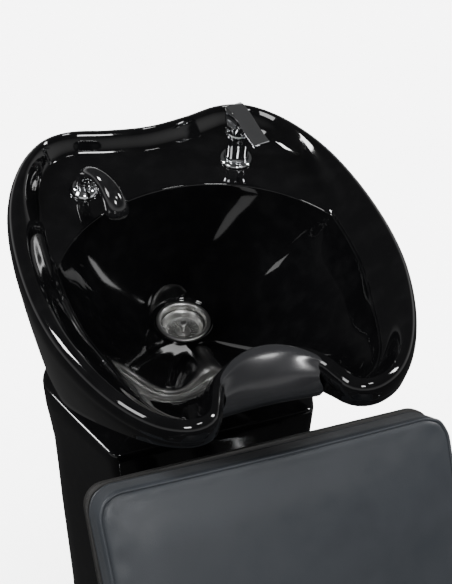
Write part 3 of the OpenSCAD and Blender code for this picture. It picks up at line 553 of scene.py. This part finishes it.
def bowl_z(rho):
    top = DECK_DEPTH + DECK_FALL
    return -top - (BOWL_DEPTH - top) * (1 - rho ** 1.15) ** 0.78


def inside_rings(rim):
    """From the crest down the sloped wall, over the deck with its rounded edge, and down the bowl."""
    rings = []
    for t in np.linspace(0, 1, 12):
        drop = DECK_DEPTH * (0.55 * t + 0.45 * smooth_step(0, 1, t))
        rings.append(rim.level(rim.crest - rim.normal * (rim.foot_w * t)[:, None], -drop))
    edge_r = np.minimum(4.5, 0.6 * (rim.foot_r - rim.cavity))
    edge_top = -DECK_DEPTH - 2.8
    for t in (0.3, 0.65, 1):
        rings.append(rim.round_drain(mix(rim.foot_r, rim.cavity + edge_r, t), -DECK_DEPTH - 2.8 * t))
    for t, drop in ((0.6, 0.05), (0.3, 0.2), (0.1, 0.42), (-0.02, 0.72), (-0.13, 1.05)):
        rings.append(rim.round_drain(rim.cavity + edge_r * t, edge_top - edge_r * drop))
    for rho in [0.975, 0.95, 0.91, *np.linspace(0.87, 0.03, 26), 0]:
        rings.append(rim.round_drain(rim.wall(rho), bowl_z(rho)))
    for r, z in ((43, -223), (41.6, -225), (36, -225), (36, -236)):
        rings.append(rim.round_drain(r, z))
    return rings


def outside_rings(rim):
    """From the drain up the bowl's underside, down inside the skirt and up its outside to the lip."""
    rings = []
    for rho in (0, 0.15, 0.3, 0.5, 0.7, 0.88):
        r = rim.wall(rho) + CERAMIC * (0.35 + 0.65 * rho)
        rings.append(rim.round_drain(r, bowl_z(rho) - CERAMIC + 5 * rho))
    for t, z in ((0.3, -DECK_DEPTH - 15), (0.7, -DECK_DEPTH - 15), (1, -DECK_DEPTH - 14)):
        rings.append(rim.round_drain(mix(rim.cavity + CERAMIC, rim.foot_r + 3, t), z))
    for z, inset in ((-64, 8), (-100, 8), (-140, 8), (-SKIRT + 3, 8), (-SKIRT + 0.5, 6.5),
                     (-SKIRT, 4), (-SKIRT + 0.6, 1.2), (-SKIRT + 3, 0),
                     (-165, 0), (-145, 0), (-120, 0), (-95, 0), (-75, 0)):
        rings.append(rim.skirt(z, inset))
    under_lip = rim.shift(13.4, SKIRT_TOP - 12 * rim.share)
    rings.append((rings[-1] + under_lip) / 2)
    rings.append(under_lip)
    rings.extend(rim.shift(d, z) for d, z in LIP)
    return rings


def make_basin():
    rim = Rim(RIM_SAMPLES)
    rings = [basin_to_world(ring) for ring in inside_rings(rim) + outside_rings(rim)]
    dress(mesh_piece("basin_ceramic", *loft(rings, wrap=True), sharp=50), "basin")


make_basin()

# ------------------------------------------------------------------ upholstery

CLOTH_FRAMES = 20
SWELL_CAP = 0.006          # no point of a cushion swells further than this
SWELL_ROUNDS = 12          # how often the filling evens the swelling out over the face
GATHER_DEPTH, GATHER_REACH = 0.9, 26
RECLINE = math.radians(30)


def cloth_shape(piece, pinned):
    """Where the piece's points are after CLOTH_FRAMES frames of cloth under pressure."""
    group = piece.vertex_groups.new(name="pinned")
    group.add([int(i) for i in np.nonzero(pinned)[0]], 1.0, "REPLACE")
    cloth = piece.modifiers.new("cloth", "CLOTH")
    cloth.settings.quality = 5
    cloth.settings.mass = 0.4
    cloth.settings.tension_stiffness = 40
    cloth.settings.compression_stiffness = 40
    cloth.settings.shear_stiffness = 20
    cloth.settings.bending_stiffness = 4
    cloth.settings.use_pressure = True
    cloth.settings.uniform_pressure_force = 2
    cloth.settings.vertex_group_mass = "pinned"
    cloth.settings.effector_weights.gravity = 0
    cloth.collision_settings.use_collision = False
    cloth.point_cache.frame_start, cloth.point_cache.frame_end = 1, CLOTH_FRAMES
    for f in range(1, CLOTH_FRAMES + 1):
        bpy.context.scene.frame_set(f)
    seen = piece.evaluated_get(bpy.context.evaluated_depsgraph_get())
    after = np.array([v.co for v in seen.data.vertices])
    piece.modifiers.clear()
    piece.vertex_groups.clear()
    bpy.context.scene.frame_set(1)
    return after


def swell(piece, pinned):
    """Swells the cover under pressure between its pinned points; the filling evens that out."""
    before = np.array([v.co for v in piece.data.vertices])
    move = cloth_shape(piece, pinned) - before
    far = np.linalg.norm(move, axis=1, keepdims=True)
    move *= np.minimum(1, SWELL_CAP / np.maximum(far, 1e-9))
    edges = np.array([e.vertices for e in piece.data.edges])
    count = np.bincount(edges.ravel(), minlength=len(before))[:, None]
    for _ in range(SWELL_ROUNDS):
        total = np.zeros_like(move)
        np.add.at(total, edges[:, 0], move[edges[:, 1]])
        np.add.at(total, edges[:, 1], move[edges[:, 0]])
        move = np.where(pinned[:, None], move, 0.5 * move + 0.5 * total / count)
    piece.data.vertices.foreach_set("co", (before + move).ravel())
    piece.data.update()


def slab_grid(nx, ny, nz):
    """The points of a closed box grid as (i, j, k), its quads, and the loops round top and bottom."""
    index, grid = {}, []
    for i in range(nx + 1):
        for j in range(ny + 1):
            at_rim = i in (0, nx) or j in (0, ny)
            for k in range(nz + 1) if at_rim else (0, nz):
                index[i, j, k] = len(grid)
                grid.append((i, j, k))

    def square(a, b):
        return (a, b), (a + 1, b), (a + 1, b + 1), (a, b + 1)

    faces = []
    for i in range(nx):
        for j in range(ny):
            for k, turn in ((0, -1), (nz, 1)):
                faces.append([index[a, b, k] for a, b in square(i, j)][::turn])
    for k in range(nz):
        for i in range(nx):
            for j, turn in ((0, 1), (ny, -1)):
                faces.append([index[a, j, b] for a, b in square(i, k)][::turn])
        for j in range(ny):
            for i, turn in ((0, -1), (nx, 1)):
                faces.append([index[i, a, b] for a, b in square(j, k)][::turn])
    around = ([(i, 0) for i in range(nx)] + [(nx, j) for j in range(ny)]
              + [(i, ny) for i in range(nx, 0, -1)] + [(0, j) for j in range(ny, 0, -1)])
    seams = [[index[i, j, level] for i, j in around] for level in (nz, 0)]
    return np.array(grid), faces, seams


def slab(size, corner, edge, cells, crown, pull):
    """Closed quad mesh of an upholstered slab in millimetres, centred, with rounded corners and edges.

    Returns points, faces, the two seam loops and which points lie on the flat back.
    """
    def spread(n):
        s = np.linspace(-1, 1, n + 1)
        return 0.5 * np.sin(math.pi / 2 * s) + 0.5 * s

    w, d, h = size
    nx, ny, nz = cells
    g, faces, seams = slab_grid(nx, ny, nz)
    x, y, z = spread(nx)[g[:, 0]] * w / 2, spread(ny)[g[:, 1]] * d / 2, spread(nz)[g[:, 2]] * h / 2
    u, v = abs(x) / (w / 2), abs(y) / (d / 2)
    # round the edges between the faces and the sides
    mx, my = np.maximum(abs(x) - w / 2 + edge, 0), np.maximum(abs(y) - d / 2 + edge, 0)
    m, n = np.maximum(mx, my), np.maximum(abs(z) - h / 2 + edge, 0)
    f = np.where((m > 0) & (n > 0), np.maximum(m, n) / np.maximum(np.hypot(m, n), 1e-9), 1)
    reach = np.where(mx >= my, abs(x), abs(y))
    k = np.where(m > 0, (reach - m * (1 - f)) / np.maximum(reach, 1e-9), 1)
    z = np.sign(z) * (abs(z) - n * (1 - f))
    x, y = x * k, y * k
    # round the four corners of the outline
    cx, cy = np.clip(x, corner - w / 2, w / 2 - corner), np.clip(y, corner - d / 2, d / 2 - corner)
    dx, dy = x - cx, y - cy
    round_off = np.maximum(abs(dx), abs(dy)) / np.maximum(np.hypot(dx, dy), 1e-9)
    at_corner = (dx != 0) & (dy != 0)
    x, y = np.where(at_corner, cx + dx * round_off, x), np.where(at_corner, cy + dy * round_off, y)
    # the sides pull in between the corners, and the top is crowned
    x -= np.sign(x) * pull * (1 - v ** 2) * u ** 8
    y -= np.sign(y) * pull * (1 - u ** 2) * v ** 8
    top = g[:, 2] == nz
    z += crown * ((1 - u ** 2) * (1 - v ** 2)) ** 0.42 * top
    # small gathers where the cover is sewn to the piping
    near = np.clip(1 - (1 - np.maximum(u, v)) * min(w, d) / 2 / GATHER_REACH, 0, 1) * top
    ripple = 0.5 + 0.5 * np.sin(x / 6.1 + 1.7 * np.sin(x / 23)) * np.sin(y / 6.7)
    z -= GATHER_DEPTH * near * (1 - near) * 4 * ripple
    return np.stack([x, y, z], 1), faces, seams, g[:, 2] == 0


def make_piping(name, node, where, seams, radius):
    """A thin cord sewn along each seam of the cushion whose points are where."""
    coarse, fine, sides, outwards = 150, 450, 12, 0.0006
    middle = where.mean(axis=0)
    for seam, label in zip(seams, ("front", "rear")):
        loop = catmull(resample(where[seam], coarse, closed=True), fine, closed=True)
        out = unit(loop - middle)
        loop = resample(loop + out * outwards, fine, closed=True)
        tangent = unit(np.roll(loop, -1, 0) - np.roll(loop, 1, 0))
        side = unit(np.cross(tangent, out))
        up = np.cross(side, tangent)
        a = np.linspace(0, 2 * math.pi, sides, endpoint=False)[None, :, None]
        rings = loop[:, None] + radius * MM * (np.cos(a) * side[:, None] + np.sin(a) * up[:, None])
        dress(mesh_piece(f"{name}_piping_{label}", *loft(rings, wrap=True)), node)


def upholstered(name, node, place, piping, simulate=True, **shape):
    """A cushion with piped seams in place of a CAD slab; place maps its millimetres to the row frame's."""
    points, faces, seams, back = slab(**shape)
    cushion = mesh_piece(name, place(points) * MM, faces)
    if simulate:
        sewn = back.copy()
        sewn[[i for seam in seams for i in seam]] = True
        swell(cushion, sewn)
    make_piping(name, node, np.array([v.co for v in cushion.data.vertices]), seams, piping)
    smooth = cushion.modifiers.new("smooth", "SUBSURF")
    smooth.levels = smooth.render_levels = 1
    apply_modifiers(cushion)
    for polygon in cushion.data.polygons:
        polygon.use_smooth = True
    dress(cushion, node)


def on_back(p):
    """Leans a slab back, with its centre down and in from the backrest's upper front edge."""
    edge_y, edge_z, down, inwards = -333, 767, 192.5, 36
    c, s = math.cos(math.pi / 2 - RECLINE), math.sin(math.pi / 2 - RECLINE)
    return np.stack([p[:, 0], edge_y + (p[:, 1] - down) * c - (p[:, 2] - inwards) * s,
                     edge_z + (p[:, 1] - down) * s + (p[:, 2] - inwards) * c], 1)


def at(x, y, z):
    return lambda p: p + np.array([x, y, z])


upholstered("backrest_vinyl", "backrest_cushion", on_back, piping=2.6,
            size=(494, 374, 62), corner=40, edge=13, cells=(56, 44, 10), crown=2, pull=3)
upholstered("seat_vinyl", "seat_cushion", at(0, -759.5, 423), piping=2.6,
            size=(494, 440, 63), corner=40, edge=15, cells=(56, 50, 10), crown=3, pull=3)
for side, x in (("left", -287), ("right", 287)):
    upholstered(f"armrest_{side}_pad", f"armrest_pad_{side}", at(x, -700, 625.6), piping=0.9,
                simulate=False, size=(61, 379, 31), corner=24, edge=13, cells=(16, 60, 8), crown=2.4,
                pull=0)

# ------------------------------------------------------------------ neck rest

REST_HALF = 71
GEL_SKIN = 3.4


def saddle_line(s):
    """The gel skin's outer line at s (-1 to 1 across): from behind the lip, over it and down the front.

    lip_y and lip_z are the lip's crest, foot_y and foot_z the lower front edge, bulge the front's fullness.
    """
    lip_y, lip_z = 122 - 31 * s * s, 5 - 8 * s * s
    foot_y, foot_z = 87 - 8 * s * s, -66 + 2 * s * s
    bulge = 24 - 7 * s * s
    front = [(mix(lip_y, foot_y, ty) - full * bulge, mix(lip_z, foot_z, tz))
             for ty, full, tz in ((0.25, 0.75, 0.16), (0.45, 1, 0.36), (0.7, 1, 0.6), (0.9, 0.75, 0.82))]
    return np.array([(lip_y + 4, lip_z - 26), (lip_y + 3.4, lip_z - 14), (lip_y + 2, lip_z - 5),
                     (lip_y - 4, lip_z - 0.5), (lip_y - 12, lip_z - 0.5), *front,
                     (foot_y - 0.35 * bulge, foot_z), (foot_y + 5, foot_z + 0.5)])


def make_neck_rest():
    """A hollow gel saddle: one thick skin, open towards the bowl, over the lip of the neck notch."""
    sections, count = 61, 46
    rings = []
    for s in np.linspace(-1, 1, sections):
        curve = resample(catmull(saddle_line(s), 90), count)
        turn = unit(np.gradient(curve, axis=0))
        inward = np.stack([-turn[:, 1], turn[:, 0]], 1)
        section = np.vstack([curve, (curve + inward * GEL_SKIN)[::-1]])
        q = np.concatenate([np.linspace(0, 1, count), np.linspace(1, 0, count)])
        # the ends are cut in a shallow wave, deepest halfway down
        reach = REST_HALF * (1 - 0.10 * np.exp(-((q - 0.52) / 0.13) ** 2) - 0.05 * smooth_step(0.75, 1, q))
        shrink = 1 - 0.02 * smooth_step(0.93, 1, abs(s))
        middle = section.mean(0)
        rings.append(np.column_stack([s * reach, shrink * (section - middle) + middle]))
    points, faces = loft([basin_to_world(r) for r in rings])
    n = 2 * count
    last = (len(rings) - 1) * n
    for i in range(count - 1):
        faces.append((i, n - 1 - i, n - 2 - i, i + 1))
        faces.append((last + i, last + i + 1, last + n - 2 - i, last + n - 1 - i))
    rest = mesh_piece("neck_rest_gel", points, faces, sharp=60)
    edges = rest.modifiers.new("edges", "BEVEL")
    edges.width, edges.segments, edges.limit_method = 0.0009, 3, "ANGLE"
    edges.angle_limit = math.radians(50)
    apply_modifiers(rest)
    dress(rest, "neck_rest")


make_neck_rest()

# ------------------------------------------------------------------ hand shower and hoses

TAP, SOCKET, DECK_Z = (111, 510), (-122, 503), -30
CONE_TOP = 15.3            # the hand shower stands on its cone this far above the deck
WASTE_TAIL = basin_to_world((0, 395, -297)) / MM    # the lower end of the drain's tail
VALVE_HEIGHT = 151         # where the supply hoses end on the stop valves
WASTE_RINGS, SUPPLY_RINGS, SHOWER_RINGS = 190, 260, 300
# supply hoses from the mixer down to the stop valves: the first two points are in the basin's
# frame with depth under the deck last, the others in the row frame
SUPPLY_ROUTES = {
    "hot": [(94, 504, 120), (86, 494, 170), (70, 120, 700), (52, 110, 656), (44, 122, 600),
            (20, 124, 545), (-25, 116, 480), (-58, 88, 400), (-56, 48, 300), (-42, 20, 220),
            (-42, 20, VALVE_HEIGHT)],
    "cold": [(122, 504, 120), (110, 494, 170), (94, 120, 700), (79, 110, 656), (68, 119, 600),
             (66, 118, 540), (60, 100, 450), (58, 70, 380), (56, 40, 300), (42, 20, 220),
             (42, 20, VALVE_HEIGHT)]}
# the shower hose, from under the mixer to the hand shower's socket, in the basin's frame
# with depth under the deck last
SHOWER_ROUTE = [(TAP[0], TAP[1], 62), (110, 516, 78), (102, 532, 94), (75, 541, 104), (20, 541, 110),
                (-60, 541, 106), (-104, 530, 92), (-121, 511, 66), (SOCKET[0], SOCKET[1], 42)]


def route(points, count):
    return catmull(np.asarray(points, float), count)


def under_basin(points):
    return basin_to_world([(x, y, DECK_Z - z) for x, y, z in points]) / MM


def make_hand_shower():
    """A curved grip that rises from its cone, bends over and ends in a wider spray head."""
    path = [(0, 0, CONE_TOP), (0, 0, 22), (1, -5, 34), (5, -17, 45), (11, -33, 51), (17, -50, 49),
            (22, -64, 40), (25, -73, 28), (26, -78, 17)]
    radii = [11.5, 10.5, 9.8, 9.8, 10.4, 12.5, 15.5, 17.2, 16.2]
    steps, sides = 72, 40
    line = route(path, steps)
    thick = catmull(np.array(radii)[:, None], steps)[:, 0]
    thick[-3:] *= (0.995, 0.975, 0.93)
    thick[:2] *= (0.93, 0.98)
    rings = tube_rings(line, thick, sides)
    rings[0][:, 2] = CONE_TOP
    rings = np.concatenate([mix(rings[:1].mean(1, keepdims=True), rings[:1], 0.52), rings,
                            mix(rings[-1:].mean(1, keepdims=True), rings[-1:], 0.8)])
    rings += np.array([SOCKET[0], SOCKET[1], DECK_Z])
    dress(mesh_piece("hand_shower_hook", *loft(basin_to_world(rings), caps=True), sharp=60), "hand_shower")


def hose(name, node, path, radius, sides):
    """A flexible hose along path in millimetres, in the finish of the CAD node it replaces."""
    piece = mesh_piece(name, *loft(tube_rings(path, radius, sides) * MM, caps=True), sharp=60)
    piece.data.materials.append(FINISHES[NODE_SLOT[node]])
    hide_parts(node)
    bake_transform(piece)


def ferrules(count, radius, extra, ends, wave=0.0, pitch=6):
    """Radii along a hose: crimped sleeves at both ends, ribs of height wave in between."""
    k = np.arange(count)
    near = np.minimum(k, count - 1 - k)
    rib = wave * (0.5 - 0.5 * np.cos(2 * math.pi * k / pitch))
    return radius + np.where(near < ends, extra, rib)


def make_hoses():
    down = [WASTE_TAIL, WASTE_TAIL + (0, 3, -16), (0, 66, 590), (0, 66, 560), (0, 66, 520), (0, 66, 471)]
    line = resample(route(down, 200), WASTE_RINGS)
    hose("waste_hose_ribbed", "waste_hose", line[::-1],
         ferrules(WASTE_RINGS, 16.8, extra=2.2, ends=10, wave=2.2, pitch=7), 28)
    for label, x in (("hot", -13), ("cold", 13)):
        points = SUPPLY_ROUTES[label]
        turn = 1 if x > 0 else -1
        top = under_basin([(TAP[0] + x, TAP[1], 35), (TAP[0] + x + turn, 509, 70), *points[:2]])
        line = resample(route([*top, *points[2:]], 300), SUPPLY_RINGS)
        hose(f"{label}_hose_braided", f"{label}_hose", line[::-1],
             ferrules(SUPPLY_RINGS, 5.6, extra=0.9, ends=6), 16)
    path = under_basin(SHOWER_ROUTE)
    line = resample(route(path, SHOWER_RINGS), SHOWER_RINGS)
    hose("shower_hose_ribbed", "shower_hose", line,
         ferrules(SHOWER_RINGS, 5.7, extra=0.8, ends=12, wave=0.8, pitch=4), 16)


make_hand_shower()
make_hoses()

# ------------------------------------------------------------------ CAD parts that are shown as they are

EDGE_ROUND = 0.0005
EDGE_ROUND_OF = {"mixer_lever": 0.0010, "seat_crossbar_front": 0.0015, "seat_crossbar_rear": 0.0015,
                 "seat_rails": 0.0015}


def finish_cad_parts():
    """Each CAD part that no piece replaces gets its finish, smooth shading and slightly rounded edges."""
    for name, node in frame["nodes"].items():
        if node.hide_render:
            continue
        node.data.materials.clear()
        node.data.materials.append(FINISHES[NODE_SLOT[name]])
        for polygon in node.data.polygons:
            polygon.use_smooth = True
        weld = node.modifiers.new("weld", "WELD")
        weld.merge_threshold = 1e-6
        bevel = node.modifiers.new("edges", "BEVEL")
        bevel.width = EDGE_ROUND_OF.get(name, EDGE_ROUND)
        bevel.segments = 2
        bevel.limit_method = "ANGLE"
        bevel.angle_limit = math.radians(40)
        bevel.harden_normals = True


finish_cad_parts()
